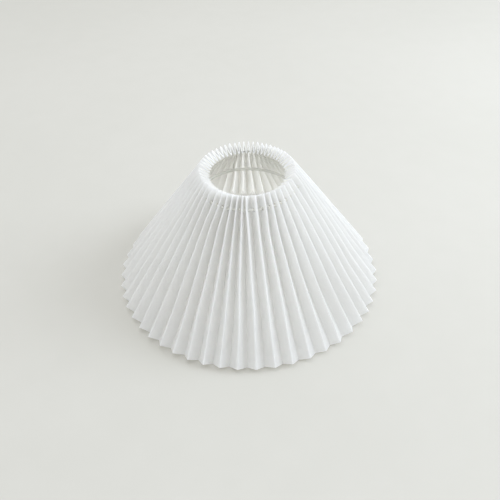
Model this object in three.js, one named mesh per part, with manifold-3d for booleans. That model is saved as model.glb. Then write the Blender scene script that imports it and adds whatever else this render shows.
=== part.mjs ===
// A pleated cone lamp shade. One sheet of stiffened cloth is folded into sharp pleats and joined
// into a cone by a glued lap. A drawcord runs through a punched hole in every panel and gathers
// the neck. Inside hangs a wire carrier: a ring, three hooks whose fingers reach under the cord,
// and three arms down to the flat ring that a lampholder clamps.
// Millimetres, +Z up, origin on the axis at the level of the bottom edge. Azimuth 0 faces -Y and
// grows towards +X.

import * as THREE from 'three';
import { mergeVertices } from 'three/addons/utils/BufferGeometryUtils.js';
import Module from 'manifold-3d';

// ---- Driving dimensions ----------------------------------------------------------------------

const pleatCount = 54;
const panelWidth = 11.2; // from an outer fold to the next inner fold
const sheetHeight = 160; // measured along the slope
const sheetThickness = 0.5;
const bottomRadius = 136.5; // halfway between the inner and outer folds, at the wide edge
const topRadius = 41.5; // the same, at the neck edge
const foldStartDegrees = 1.7; // azimuth of outer fold number 0
const seamFold = 15; // number of the outer fold where the lap is glued
const lapWidth = 8; // how far the sheet's end runs on inside its start
const lapGap = 0.4; // room for the glue in the lap

const holeInset = 13; // from the neck edge to the middle of the cord holes
const holeDiameter = 3.6;
const cordDiameter = 1.8;

const ringWire = 2.8;
const ringDrop = 23.5; // from the cord down to the ring's middle
const ringToPleats = 6.5; // free space between the ring and the inner folds
const hookWire = 1.6;
const hookFolds = [-25, -7, 11]; // outer folds whose grooves hold the hooks
const grooveClearance = 0.25; // from a finger's tip to the panels on both sides
const shankSetback = 2.4; // how far inside the cord a hook's upright stands
const armWire = 2.4;
const armTurnDegrees = 45; // from each hook to the arm after it
const fitterBore = 42; // clears a 40 mm lampholder thread
const fitterOuter = 58;
const fitterThickness = 1.5;
const fitterDrop = 25; // from the ring's middle down to the fitter's top face
const lapPast = 2.2; // how far a welded wire runs on past the wire it crosses

const weldGap = 0.3; // clearance kept between separate pieces that touch
const cordGap = 0.3; // clearance between the cord and the finger under it

// ---- Shape of the cone -----------------------------------------------------------------------

const slopeSine = (bottomRadius - topRadius) / sheetHeight;
const slopeCosine = Math.sqrt(1 - slopeSine ** 2);
const pleatAngle = (2 * Math.PI) / pleatCount;
const firstFoldAngle = THREE.MathUtils.degToRad(foldStartDegrees);
const lengthDivisions = 5; // rows of facets along the slope, because the panels twist

// Radius halfway between the folds, at a share t of the way up the slope.
function middleRadius(t) {
  return THREE.MathUtils.lerp(bottomRadius, topRadius, t);
}

// Width that one panel takes up along the circumference.
function panelSpan(t) {
  return 2 * middleRadius(t) * Math.sin(pleatAngle / 4);
}

// Half the depth of a pleat, square to the slope.
function halfDepth(t) {
  return Math.sqrt(panelWidth ** 2 - panelSpan(t) ** 2) / 2;
}

// The inner folds' lowest corners stand on the ground, so the middle line starts above it.
const footRise = (halfDepth(0) + (sheetThickness / 2) * (panelSpan(0) / panelWidth)) * slopeSine;

function middleHeight(t) {
  return footRise + sheetHeight * slopeCosine * t;
}

function azimuthPoint(azimuth, radius, height) {
  return new THREE.Vector3(radius * Math.sin(azimuth), -radius * Math.cos(azimuth), height);
}

// Even folds are outer folds, odd ones inner folds, counted from outer fold number 0.
function foldPoint(index, t) {
  const side = index % 2 === 0 ? 1 : -1;
  const depth = side * halfDepth(t);
  const azimuth = firstFoldAngle + (index * pleatAngle) / 2;
  return azimuthPoint(azimuth, middleRadius(t) + depth * slopeCosine, middleHeight(t) + depth * slopeSine);
}

// Radius of a fold where it passes a given height.
function foldRadius(index, height) {
  const low = foldPoint(index, 0);
  const high = foldPoint(index, 1);
  const share = (height - low.z) / (high.z - low.z);
  return THREE.MathUtils.lerp(Math.hypot(low.x, low.y), Math.hypot(high.x, high.y), share);
}

// The largest radius that a wire can reach in the groove behind an outer fold.
function grooveEnd(height, wire) {
  const inner = foldRadius(1, height);
  const depth = foldRadius(0, height) - inner;
  const halfSpan = inner * Math.sin(pleatAngle / 2);
  const wallSine = halfSpan / Math.hypot(halfSpan, depth);
  return inner + depth - (sheetThickness / 2 + wire / 2 + grooveClearance) / wallSine;
}

const holeShare = 1 - holeInset / sheetHeight;
const cordRadius = middleRadius(holeShare);
const cordHeight = middleHeight(holeShare);
const ringHeight = cordHeight - ringDrop;
const ringRadius = foldRadius(1, ringHeight) - ringToPleats - ringWire / 2;
const fitterTop = ringHeight - fitterDrop;

// ---- Solids ----------------------------------------------------------------------------------

const wasm = await Module();
wasm.setup();

function toSolid(geometry) {
  const bare = geometry.clone();
  bare.deleteAttribute('normal');
  bare.deleteAttribute('uv');
  const merged = mergeVertices(bare, 1e-4);
  const vertProperties = new Float32Array(merged.attributes.position.array);
  const triVerts = new Uint32Array(merged.index.array);
  return new wasm.Manifold(new wasm.Mesh({ numProp: 3, vertProperties, triVerts }));
}

function toGeometry(solid) {
  const { vertProperties, triVerts } = solid.getMesh();
  const geometry = new THREE.BufferGeometry();
  geometry.setAttribute('position', new THREE.BufferAttribute(new Float32Array(vertProperties), 3));
  geometry.setIndex(new THREE.BufferAttribute(new Uint32Array(triVerts), 1));
  return geometry;
}

function makeMesh(name, geometry, color, roughness, metalness) {
  const mesh = new THREE.Mesh(geometry, new THREE.MeshStandardMaterial({ color, roughness, metalness }));
  mesh.geometry.computeVertexNormals();
  mesh.name = name;
  return mesh;
}

// A round wire along a curve, closed by flat ends.
function wireGeometry(curve, diameter, steps) {
  const sides = 8;
  const section = new THREE.Shape();
  for (let corner = 0; corner < sides; corner += 1) {
    const angle = (corner * 2 * Math.PI) / sides;
    const place = [(Math.cos(angle) * diameter) / 2, (Math.sin(angle) * diameter) / 2];
    if (corner === 0) section.moveTo(...place);
    else section.lineTo(...place);
  }
  return new THREE.ExtrudeGeometry(section, { steps, bevelEnabled: false, extrudePath: curve });
}

// A curve in the upright plane through the axis, given as [radius, height] pairs.
function uprightCurve(pairs) {
  const points = pairs.map(([radius, height]) => new THREE.Vector3(radius, 0, height));
  return new THREE.CatmullRomCurve3(points, false, 'centripetal');
}

// Turns a mesh drawn in the plane of +X and +Z to an azimuth.
function turnTo(mesh, azimuth) {
  mesh.rotation.z = azimuth - Math.PI / 2;
  return mesh;
}

// ---- Pleated sheet ---------------------------------------------------------------------------

// The folds in order along the sheet, at share t of the slope. The last two make the lap: they
// lie inside the first panel, parallel to it.
function sheetFolds(t) {
  const first = 2 * seamFold;
  const folds = [];
  for (let step = 0; step < 2 * pleatCount; step += 1) folds.push(foldPoint(first + step, t));
  const toNext = folds[1].clone().sub(folds[0]).normalize();
  const toLast = folds[2 * pleatCount - 1].clone().sub(folds[0]).normalize();
  const foldSine = Math.sqrt(1 - toNext.dot(toLast) ** 2);
  const lapStart = folds[0].clone().addScaledVector(toLast, (sheetThickness + lapGap) / foldSine);
  folds.push(lapStart, lapStart.clone().addScaledVector(toNext, lapWidth));
  return folds;
}

// Gives the sheet its thickness at one level: for each fold, its points on the outer face and on
// the inner face. The face on the sharp side of a fold gets two points, which blunt the edge.
function sheetSection(t) {
  const folds = sheetFolds(t);
  const upper = sheetFolds(1);
  const lower = sheetFolds(0);
  const half = sheetThickness / 2;
  const normals = [];
  for (let panel = 0; panel + 1 < folds.length; panel += 1) {
    const across = folds[panel + 1].clone().sub(folds[panel]);
    const along = upper[panel].clone().sub(lower[panel]);
    along.add(upper[panel + 1]).sub(lower[panel + 1]);
    normals.push(across.cross(along).normalize());
  }
  return folds.map((fold, index) => {
    const before = normals[index - 1] ?? normals[index];
    const after = normals[index] ?? normals[index - 1];
    const shifted = (normal, distance) => fold.clone().addScaledVector(normal, distance);
    if (before === after) return { outer: [shifted(after, half)], inner: [shifted(after, -half)] };
    const corner = before.clone().add(after).divideScalar(1 + before.dot(after));
    if (index % 2 === 0) {
      return { outer: [shifted(before, half), shifted(after, half)], inner: [shifted(corner, -half)] };
    }
    return { outer: [shifted(corner, half)], inner: [shifted(before, -half), shifted(after, -half)] };
  });
}

function sheetGeometry() {
  const positions = [];
  const triangles = [];
  const place = (point) => positions.push(point.x, point.y, point.z) / 3 - 1;
  const rows = [];
  for (let row = 0; row <= lengthDivisions; row += 1) {
    rows.push(
      sheetSection(row / lengthDivisions).map(({ outer, inner }) => ({
        outer: outer.map(place),
        inner: inner.map(place),
      })),
    );
  }
  const quad = (a, b, c, d, faceOut, mirrored) => {
    const pair = mirrored ? [[a, b, d], [b, c, d]] : [[a, b, c], [a, c, d]];
    pair.forEach(([p, q, r]) => triangles.push(...(faceOut ? [p, q, r] : [p, r, q])));
  };
  const lastFold = rows[0].length - 1;
  for (let row = 0; row < lengthDivisions; row += 1) {
    const low = rows[row];
    const high = rows[row + 1];
    for (let fold = 0; fold < lastFold; fold += 1) {
      for (const face of ['outer', 'inner']) {
        const corners = [low[fold], low[fold + 1], high[fold + 1], high[fold]].map((end) => end[face]);
        const [a, b, c, d] = corners;
        quad(a.at(-1), b[0], c[0], d.at(-1), face === 'outer', fold % 2 === 1);
      }
    }
    for (let fold = 1; fold < lastFold; fold += 1) {
      const face = fold % 2 === 0 ? 'outer' : 'inner';
      const [a, b] = low[fold][face];
      const [d, c] = high[fold][face];
      quad(a, b, c, d, face === 'outer', false);
    }
    for (const fold of [0, lastFold]) {
      quad(low[fold].outer[0], low[fold].inner[0], high[fold].inner[0], high[fold].outer[0], fold !== 0, false);
    }
  }
  for (const [row, faceOut] of [[rows[0], false], [rows[lengthDivisions], true]]) {
    for (let fold = 0; fold < lastFold; fold += 1) {
      const here = row[fold];
      const next = row[fold + 1];
      quad(here.outer.at(-1), next.outer[0], next.inner[0], here.inner.at(-1), faceOut, false);
    }
    for (let fold = 1; fold < lastFold; fold += 1) {
      const { outer, inner } = row[fold];
      const corner = fold % 2 === 0 ? [outer[0], outer[1], inner[0]] : [outer[0], inner[1], inner[0]];
      triangles.push(...(faceOut ? corner : corner.reverse()));
    }
  }
  const geometry = new THREE.BufferGeometry();
  geometry.setAttribute('position', new THREE.Float32BufferAttribute(positions, 3));
  geometry.setIndex(triangles);
  return geometry;
}

// One ring-shaped cut makes the cord hole in every panel. Its corners lie at the folds.
function holeChannel() {
  const sides = 6;
  const geometry = new THREE.TorusGeometry(cordRadius, holeDiameter / 2, sides, 2 * pleatCount);
  return geometry.rotateZ(firstFoldAngle - Math.PI / 2).translate(0, 0, cordHeight);
}

function pleatedSheet() {
  const punched = toSolid(sheetGeometry()).subtract(toSolid(holeChannel()));
  return makeMesh('pleated_sheet', toGeometry(punched), 0xd6d8d2, 0.75, 0);
}

function drawcord() {
  const sides = 6;
  const geometry = new THREE.TorusGeometry(cordRadius, cordDiameter / 2, sides, 2 * pleatCount);
  const mesh = makeMesh('drawcord', geometry, 0xf2f2ee, 0.85, 0);
  mesh.position.z = cordHeight;
  return mesh;
}

// ---- Wire carrier ----------------------------------------------------------------------------

function carrierRing() {
  const geometry = new THREE.TorusGeometry(ringRadius, ringWire / 2, 8, 48);
  const mesh = makeMesh('carrier_ring', geometry, 0xc9cac6, 0.45, 0.6);
  mesh.position.z = ringHeight;
  return mesh;
}

// A hook stands outside the ring, leans in to its pleat's groove and ends in a finger that
// reaches outwards under the cord, as far as the groove leaves room.
function hangerHook(number, fold) {
  const footRadius = ringRadius + ringWire / 2 + weldGap + hookWire / 2;
  const shankRadius = cordRadius - shankSetback;
  const fingerHeight = cordHeight - cordDiameter / 2 - cordGap - hookWire / 2;
  const bend = hookWire;
  const route = uprightCurve([
    [footRadius, ringHeight - lapPast],
    [footRadius, ringHeight],
    [footRadius, ringHeight + lapPast],
    [THREE.MathUtils.lerp(footRadius, shankRadius, 0.5), THREE.MathUtils.lerp(ringHeight, fingerHeight, 0.45)],
    [shankRadius, fingerHeight - 3 * bend],
    [shankRadius, fingerHeight - bend],
    [shankRadius + 0.3 * bend, fingerHeight - 0.3 * bend],
    [shankRadius + bend, fingerHeight],
    [grooveEnd(fingerHeight, hookWire), fingerHeight],
  ]);
  const mesh = makeMesh(`hanger_hook_${number}`, wireGeometry(route, hookWire, 26), 0xb9bab6, 0.4, 0.7);
  return turnTo(mesh, firstFoldAngle + fold * pleatAngle);
}

// An arm hangs down inside the ring and turns in to lie on the fitter's top face.
function carrierArm(number, fold) {
  const upperRadius = ringRadius - ringWire / 2 - weldGap - armWire / 2;
  const lyingHeight = fitterTop + weldGap + armWire / 2;
  const innerEnd = fitterBore / 2 + armWire;
  const bend = 4 * armWire;
  const route = uprightCurve([
    [upperRadius, ringHeight + lapPast],
    [upperRadius, ringHeight],
    [upperRadius, lyingHeight + bend],
    [upperRadius - 0.3 * bend, lyingHeight + 0.3 * bend],
    [upperRadius - bend, lyingHeight],
    [fitterOuter / 2, lyingHeight],
    [innerEnd, lyingHeight],
  ]);
  const mesh = makeMesh(`carrier_arm_${number}`, wireGeometry(route, armWire, 22), 0xc2c3bf, 0.42, 0.65);
  return turnTo(mesh, firstFoldAngle + fold * pleatAngle + THREE.MathUtils.degToRad(armTurnDegrees));
}

function fitterRing() {
  const chamfer = 0.3;
  const bottom = fitterTop - fitterThickness;
  const profile = [
    [fitterBore / 2, bottom],
    [fitterOuter / 2 - chamfer, bottom],
    [fitterOuter / 2, bottom + chamfer],
    [fitterOuter / 2, fitterTop - chamfer],
    [fitterOuter / 2 - chamfer, fitterTop],
    [fitterBore / 2, fitterTop],
    [fitterBore / 2, bottom],
  ].map(([radius, height]) => new THREE.Vector2(radius, height));
  const geometry = new THREE.LatheGeometry(profile, 48).rotateX(Math.PI / 2);
  return makeMesh('fitter_ring', geometry, 0xd2d3cf, 0.4, 0.7);
}

// ---- Assembly --------------------------------------------------------------------------------

const cover = new THREE.Group();
cover.add(pleatedSheet(), drawcord());

const carrier = new THREE.Group();
carrier.add(carrierRing(), fitterRing());
hookFolds.forEach((fold, index) => {
  carrier.add(hangerHook(index + 1, fold), carrierArm(index + 1, fold));
});

const lampShade = new THREE.Group();
lampShade.add(cover, carrier);

export default lampShade;
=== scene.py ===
"""A pleated cone lamp shade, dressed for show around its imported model.

One strip of laminated cloth is folded into sharp pleats and closed by a glued lap. A twisted
drawcord runs through a punched hole in every panel. Inside hangs a carrier of lacquered wire.
All lengths are in metres, and azimuth 0 faces -Y and grows towards +X.
"""

import logging
import math
from dataclasses import dataclass, field
from enum import Enum
from typing import Any, Sequence

import bmesh
import bpy
import numpy as np
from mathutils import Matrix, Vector


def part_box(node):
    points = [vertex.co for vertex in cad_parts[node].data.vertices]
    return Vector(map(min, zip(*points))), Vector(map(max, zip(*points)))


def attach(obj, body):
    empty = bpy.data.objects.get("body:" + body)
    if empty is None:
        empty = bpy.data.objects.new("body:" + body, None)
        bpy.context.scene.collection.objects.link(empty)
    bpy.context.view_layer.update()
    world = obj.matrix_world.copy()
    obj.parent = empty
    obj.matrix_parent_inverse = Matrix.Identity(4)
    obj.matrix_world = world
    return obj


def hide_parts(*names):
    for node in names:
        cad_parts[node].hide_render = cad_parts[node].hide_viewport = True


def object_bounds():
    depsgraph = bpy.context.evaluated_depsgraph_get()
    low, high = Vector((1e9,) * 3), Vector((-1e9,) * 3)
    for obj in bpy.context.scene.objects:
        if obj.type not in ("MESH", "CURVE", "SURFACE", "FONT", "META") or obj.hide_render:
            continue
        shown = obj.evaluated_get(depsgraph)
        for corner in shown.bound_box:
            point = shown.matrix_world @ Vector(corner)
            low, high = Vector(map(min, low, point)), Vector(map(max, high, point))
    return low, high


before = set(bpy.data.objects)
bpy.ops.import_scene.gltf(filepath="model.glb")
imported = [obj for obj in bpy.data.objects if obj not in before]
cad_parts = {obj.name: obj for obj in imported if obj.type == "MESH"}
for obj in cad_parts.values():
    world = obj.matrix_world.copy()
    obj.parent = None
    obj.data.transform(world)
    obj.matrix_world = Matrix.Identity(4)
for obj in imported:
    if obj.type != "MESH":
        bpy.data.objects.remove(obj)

CAD_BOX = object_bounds()
LOG = logging.getLogger("lamp_shade")
MM = 0.001


class Body(Enum):
    """The two bodies that the pieces ride on."""

    CARRIER = "carrier"
    COVER = "cover"


class Slot(Enum):
    """The record's material slots."""

    CLOTH = "pleated_cloth"
    CORD = "cord"
    WIRE = "wire"
    FITTER = "fitter"


# ---- Small helpers -----------------------------------------------------------------------------


def azimuth_point(radius: Any, azimuth: Any, height: Any) -> np.ndarray:
    """Places points round the axis.

    Args:
        radius: Distance from the axis, in metres.
        azimuth: Angle from -Y towards +X, in radians.
        height: Height above the ground, in metres.

    Returns:
        The points, with x, y and z along the last axis.
    """
    radius, azimuth, height = np.broadcast_arrays(radius, azimuth, height)
    return np.stack([radius * np.sin(azimuth), -radius * np.cos(azimuth), height], axis=-1)


def turned(vectors: np.ndarray) -> np.ndarray:
    """Turns flat vectors a quarter turn to the left."""
    return np.stack([-vectors[..., 1], vectors[..., 0]], axis=-1)


def unit(vectors: np.ndarray) -> np.ndarray:
    """Scales vectors to a length of one."""
    return vectors / np.linalg.norm(vectors, axis=-1, keepdims=True)


def mesh_object(name: str, points: np.ndarray, faces: Sequence[Sequence[int]]) -> bpy.types.Object:
    """Makes a smooth-shaded object from points and faces.

    Args:
        name: The piece's name.
        points: One row of x, y and z for each vertex.
        faces: The vertices of each face.

    Returns:
        The new object, linked to the scene.
    """
    mesh = bpy.data.meshes.new(name)
    mesh.from_pydata(np.asarray(points, float).tolist(), [], [list(map(int, face)) for face in faces])
    mesh.validate()
    mesh.shade_smooth()
    piece = bpy.data.objects.new(name, mesh)
    bpy.context.scene.collection.objects.link(piece)
    return piece


def sharpen(piece: bpy.types.Object, degrees: float) -> None:
    """Keeps edges that turn more than an angle crisp."""
    piece.data.set_sharp_from_angle(angle=math.radians(degrees))


def join(name: str, pieces: Sequence[bpy.types.Object]) -> bpy.types.Object:
    """Joins objects that are one workpiece into one object.

    Args:
        name: The joined piece's name.
        pieces: The objects, which all use the same material.

    Returns:
        The first object, which now holds all of them.
    """
    whole = bmesh.new()
    for piece in pieces:
        whole.from_mesh(piece.data)
    mesh = bpy.data.meshes.new(name)
    whole.to_mesh(mesh)
    whole.free()
    for piece in pieces[1:]:
        bpy.data.objects.remove(piece)
    pieces[0].data = mesh
    pieces[0].name = name
    return pieces[0]


def centripetal(knots: np.ndarray, steps: int) -> np.ndarray:
    """Runs a smooth open curve through points, at even spacing.

    Args:
        knots: The points that the curve passes through.
        steps: Number of equal lengths to cut it into.

    Returns:
        The points along the curve.
    """
    knots = np.asarray(knots, float)
    ends = [2 * knots[:1] - knots[1:2], knots, 2 * knots[-1:] - knots[-2:-1]]
    run = np.concatenate(ends)
    gaps = np.sqrt(np.linalg.norm(np.diff(run, axis=0), axis=1))
    dense = []
    share = np.linspace(0, 1, 24, endpoint=False)[:, None]
    for i in range(1, len(run) - 2):
        before, here, after = gaps[i - 1], gaps[i], gaps[i + 1]
        start = (run[i] - run[i - 1]) / before - (run[i + 1] - run[i - 1]) / (before + here)
        start = (start + (run[i + 1] - run[i]) / here) * here
        stop = (run[i + 1] - run[i]) / here - (run[i + 2] - run[i]) / (here + after)
        stop = (stop + (run[i + 2] - run[i + 1]) / after) * here
        s2, s3 = share**2, share**3
        dense.append(
            (2 * s3 - 3 * s2 + 1) * run[i]
            + (s3 - 2 * s2 + share) * start
            + (3 * s2 - 2 * s3) * run[i + 1]
            + (s3 - s2) * stop
        )
    dense = np.concatenate([*dense, run[-2:-1]])
    lengths = np.concatenate([[0], np.cumsum(np.linalg.norm(np.diff(dense, axis=0), axis=1))])
    marks = np.linspace(0, lengths[-1], steps + 1)
    return np.stack([np.interp(marks, lengths, dense[:, axis]) for axis in range(3)], axis=-1)


def sweep(
    name: str,
    path: np.ndarray,
    radius: float | np.ndarray,
    sides: int = 12,
    closed: bool = False,
    side_hint: Vector | np.ndarray = (0.0, 0.0, 1.0),
) -> bpy.types.Object:
    """Sweeps a round section along a path, with domed ends where it is open.

    Args:
        name: The piece's name.
        path: The points of the middle line.
        radius: The section's radius, or one for each point.
        sides: Corners of the section.
        closed: Whether the path is a loop.
        side_hint: A direction that the path never runs along.

    Returns:
        The tube.
    """
    path = np.asarray(path, float)
    radii = np.broadcast_to(np.asarray(radius, float), (len(path),)).copy()
    if closed:
        tangents = unit(np.roll(path, -1, 0) - np.roll(path, 1, 0))
    else:
        tangents = unit(np.gradient(path, axis=0))
        domes = np.radians([78, 52, 26])
        first, last = radii[0], radii[-1]
        low = path[0] - np.outer(np.sin(domes), tangents[0]) * first
        high = path[-1] + np.outer(np.sin(domes[::-1]), tangents[-1]) * last
        path = np.concatenate([low, path, high])
        radii = np.concatenate([np.cos(domes) * first, radii, np.cos(domes[::-1]) * last])
        tangents = np.concatenate([[tangents[0]] * 3, tangents, [tangents[-1]] * 3])
    across = unit(np.cross(np.asarray(side_hint, float), tangents))
    upright = np.cross(tangents, across)
    turn = np.linspace(0, 2 * math.pi, sides, endpoint=False)
    ring = np.cos(turn)[None, :, None] * across[:, None] + np.sin(turn)[None, :, None] * upright[:, None]
    points = (path[:, None] + ring * radii[:, None, None]).reshape(-1, 3)
    faces = []
    count = len(path)
    for i in range(count if closed else count - 1):
        low, high = i * sides, ((i + 1) % count) * sides
        for j in range(sides):
            k = (j + 1) % sides
            faces.append((low + j, low + k, high + k, high + j))
    if not closed:
        faces.append(tuple(range(sides))[::-1])
        faces.append(tuple(range((count - 1) * sides, count * sides)))
    return mesh_object(name, points, faces)


def settle(piece: bpy.types.Object, body: Body, nodes: Sequence[str] = ()) -> bpy.types.Object:
    """Gives a finished piece its body and the nodes that it stands for, and reports it.

    Args:
        piece: The piece, in place.
        body: The body that it moves with.
        nodes: The CAD nodes that it replaces.

    Returns:
        The same piece.
    """
    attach(piece, body.value)
    if nodes:
        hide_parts(*nodes)
    LOG.info("%s: %d faces, rides on %s", piece.name, len(piece.data.polygons), body.value)
    return piece


# ---- Effects shared by the finishes ------------------------------------------------------------


class NodeTree:
    """Adds and joins the nodes of one material or group."""

    def __init__(self, tree: bpy.types.NodeTree) -> None:
        """Wraps a tree and empties it."""
        self.tree = tree
        tree.nodes.clear()

    def add(self, kind: str, inputs: dict[Any, Any] | None = None, **settings: Any) -> bpy.types.Node:
        """Adds a node.

        Args:
            kind: The node's type.
            inputs: A value or a socket for each input, by name or number.
            **settings: The node's own properties.

        Returns:
            The new node.
        """
        node = self.tree.nodes.new(kind)
        for name, value in settings.items():
            setattr(node, name, value)
        for key, value in (inputs or {}).items():
            if isinstance(value, bpy.types.NodeSocket):
                self.tree.links.new(value, node.inputs[key])
            else:
                node.inputs[key].default_value = value
        return node

    def math(self, operation: str, *values: Any) -> bpy.types.NodeSocket:
        """Adds a Math node and gives its result."""
        return self.add("ShaderNodeMath", dict(enumerate(values)), operation=operation).outputs[0]

    def noise(self, where: Any, scale: float, detail: float, roughness: float = 0.5) -> bpy.types.NodeSocket:
        """Adds fine or coarse noise and gives its value, from 0 to 1."""
        settings = {"Vector": where, "Scale": scale, "Detail": detail, "Roughness": roughness}
        return self.add("ShaderNodeTexNoise", settings).outputs[0]

    def between(self, value: Any, low: Any, high: Any, start: Any = 0.0, stop: Any = 1.0) -> Any:
        """Maps a value smoothly from low..high to start..stop."""
        inputs = {"Value": value, "From Min": low, "From Max": high, "To Min": start, "To Max": stop}
        return self.add("ShaderNodeMapRange", inputs, interpolation_type="SMOOTHSTEP").outputs[0]

    def blend(self, share: Any, first: Any, second: Any) -> bpy.types.NodeSocket:
        """Mixes two colours and gives the result."""
        node = self.add("ShaderNodeMix", data_type="RGBA")
        for index, value in ((0, share), (6, first), (7, second)):
            if isinstance(value, bpy.types.NodeSocket):
                self.tree.links.new(value, node.inputs[index])
            else:
                node.inputs[index].default_value = value
        return node.outputs[2]


class Effect:
    """A shader node group with named inputs and outputs, built once."""

    name = ""
    inputs: dict[str, tuple[str, Any]] = {}
    outputs: dict[str, str] = {}

    @classmethod
    def group(cls) -> bpy.types.NodeTree:
        """Gives the group, and builds it the first time.

        Returns:
            The shader node group.
        """
        if cls.name in bpy.data.node_groups:
            return bpy.data.node_groups[cls.name]
        tree = bpy.data.node_groups.new(cls.name, "ShaderNodeTree")
        for name, (kind, value) in cls.inputs.items():
            socket = tree.interface.new_socket(name=name, in_out="INPUT", socket_type=kind)
            if value is not None:
                socket.default_value = value
        for name, kind in cls.outputs.items():
            tree.interface.new_socket(name=name, in_out="OUTPUT", socket_type=kind)
        nodes = NodeTree(tree)
        entry = nodes.add("NodeGroupInput").outputs
        cls.fill(nodes, entry, nodes.add("NodeGroupOutput").inputs)
        return tree

    @classmethod
    def fill(cls, nodes: NodeTree, entry: Any, result: Any) -> None:
        """Builds the group's nodes from its entry sockets to its results."""
        raise NotImplementedError

    @classmethod
    def place(cls, nodes: NodeTree, **values: Any) -> bpy.types.bpy_prop_collection:
        """Places the group in a material.

        Args:
            nodes: The material's nodes.
            **values: A value or a socket for each input, with underscores for spaces.

        Returns:
            The group's outputs.
        """
        inputs = {name.replace("_", " "): value for name, value in values.items()}
        node = nodes.tree.nodes.new("ShaderNodeGroup")
        node.node_tree = cls.group()
        for key, value in inputs.items():
            if isinstance(value, bpy.types.NodeSocket):
                nodes.tree.links.new(value, node.inputs[key])
            else:
                node.inputs[key].default_value = value
        return node.outputs


class Weave(Effect):
    """Plain weave: warp and weft threads that pass over and under each other."""

    name = "plain_weave"
    inputs = {
        "Vector": ("NodeSocketVector", None),
        "Threads": ("NodeSocketFloat", 2400.0),
        "Unevenness": ("NodeSocketFloat", 0.35),
    }
    outputs = {"Height": "NodeSocketFloat", "Gaps": "NodeSocketFloat"}

    @classmethod
    def fill(cls, nodes: NodeTree, entry: Any, result: Any) -> None:
        """Builds the threads from two crossed waves and their over-and-under pattern."""
        where = nodes.add("ShaderNodeSeparateXYZ", {0: entry["Vector"]}).outputs
        waves = []
        for axis, other in ((0, 1), (1, 0)):
            slub = nodes.noise(entry["Vector"], 900.0 + 300.0 * axis, 2.0)
            slub = nodes.math("MULTIPLY", nodes.math("SUBTRACT", slub, 0.5), entry["Unevenness"])
            along = nodes.math("MULTIPLY", where[axis], entry["Threads"])
            along = nodes.math("ADD", nodes.math("MULTIPLY", along, math.pi), slub)
            waves.append(nodes.math("SINE", along))
        over = nodes.math("GREATER_THAN", nodes.math("MULTIPLY", waves[0], waves[1]), 0.0)
        across = [nodes.math("POWER", nodes.math("ABSOLUTE", wave), 0.6) for wave in waves]
        humps = []
        for thread, crossing in (across, across[::-1]):
            crown = nodes.math("MULTIPLY_ADD", crossing, 0.45, 0.55)
            humps.append(nodes.math("MULTIPLY", thread, crown))
        first = nodes.math("MULTIPLY", humps[0], over)
        second = nodes.math("MULTIPLY", humps[1], nodes.math("SUBTRACT", 1.0, over))
        height = nodes.math("ADD", first, second)
        nodes.tree.links.new(height, result["Height"])
        # Gaps grows where the threads sink low between each other; the cloth uses it to paint shade into the
        # weave.
        nodes.tree.links.new(nodes.between(height, 0.5, 0.05), result["Gaps"])


class Mottle(Effect):
    """Slow, soft variation, as of a finish that took a little unevenly."""

    name = "mottle"
    inputs = {
        "Vector": ("NodeSocketVector", None),
        "Low": ("NodeSocketFloat", 0.0),
        "High": ("NodeSocketFloat", 1.0),
        "Coarse": ("NodeSocketFloat", 25.0),
        "Fine": ("NodeSocketFloat", 300.0),
    }
    outputs = {"Value": "NodeSocketFloat"}

    @classmethod
    def fill(cls, nodes: NodeTree, entry: Any, result: Any) -> None:
        """Adds fine noise to coarse noise and maps the sum to the range asked for."""
        where = entry["Vector"]
        broad = nodes.add("ShaderNodeTexNoise", {"Vector": where, "Scale": entry["Coarse"], "Detail": 3.0})
        close = nodes.add("ShaderNodeTexNoise", {"Vector": where, "Scale": entry["Fine"], "Detail": 4.0})
        slow = nodes.math("MULTIPLY", broad.outputs[0], 0.65)
        both = nodes.math("MULTIPLY_ADD", close.outputs[0], 0.35, slow)
        value = nodes.between(both, 0.33, 0.67, entry["Low"], entry["High"])
        nodes.tree.links.new(value, result["Value"])


class Wear(Effect):
    """Where handling has rubbed a raised edge."""

    name = "edge_wear"
    inputs = {
        "Vector": ("NodeSocketVector", None),
        "Edge": ("NodeSocketFloat", 0.0),
        "Amount": ("NodeSocketFloat", 0.5),
        "Grain": ("NodeSocketFloat", 700.0),
    }
    outputs = {"Mask": "NodeSocketFloat"}

    @classmethod
    def fill(cls, nodes: NodeTree, entry: Any, result: Any) -> None:
        """Breaks the edge up with grain, so that the wear is patchy."""
        settings = {"Vector": entry["Vector"], "Scale": entry["Grain"], "Detail": 5.0}
        speck = nodes.add("ShaderNodeTexNoise", settings)
        patch = nodes.add("ShaderNodeTexNoise", {"Vector": entry["Vector"], "Scale": 60.0, "Detail": 2.0})
        specks = nodes.between(speck.outputs[0], 0.4, 0.62)
        patches = nodes.between(patch.outputs[0], 0.4, 0.6)
        grain = nodes.math("MULTIPLY", specks, patches)
        mask = nodes.math("MULTIPLY", nodes.math("MULTIPLY", grain, entry["Edge"]), entry["Amount"])
        nodes.tree.links.new(mask, result["Mask"])


# ---- Finishes ----------------------------------------------------------------------------------

Colour = tuple[float, float, float, float]


def new_material(name: str) -> tuple[bpy.types.Material, NodeTree]:
    """Starts an empty material and gives it with its nodes."""
    material = bpy.data.materials.new(name)
    material.use_nodes = True
    return material, NodeTree(material.node_tree)


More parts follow.
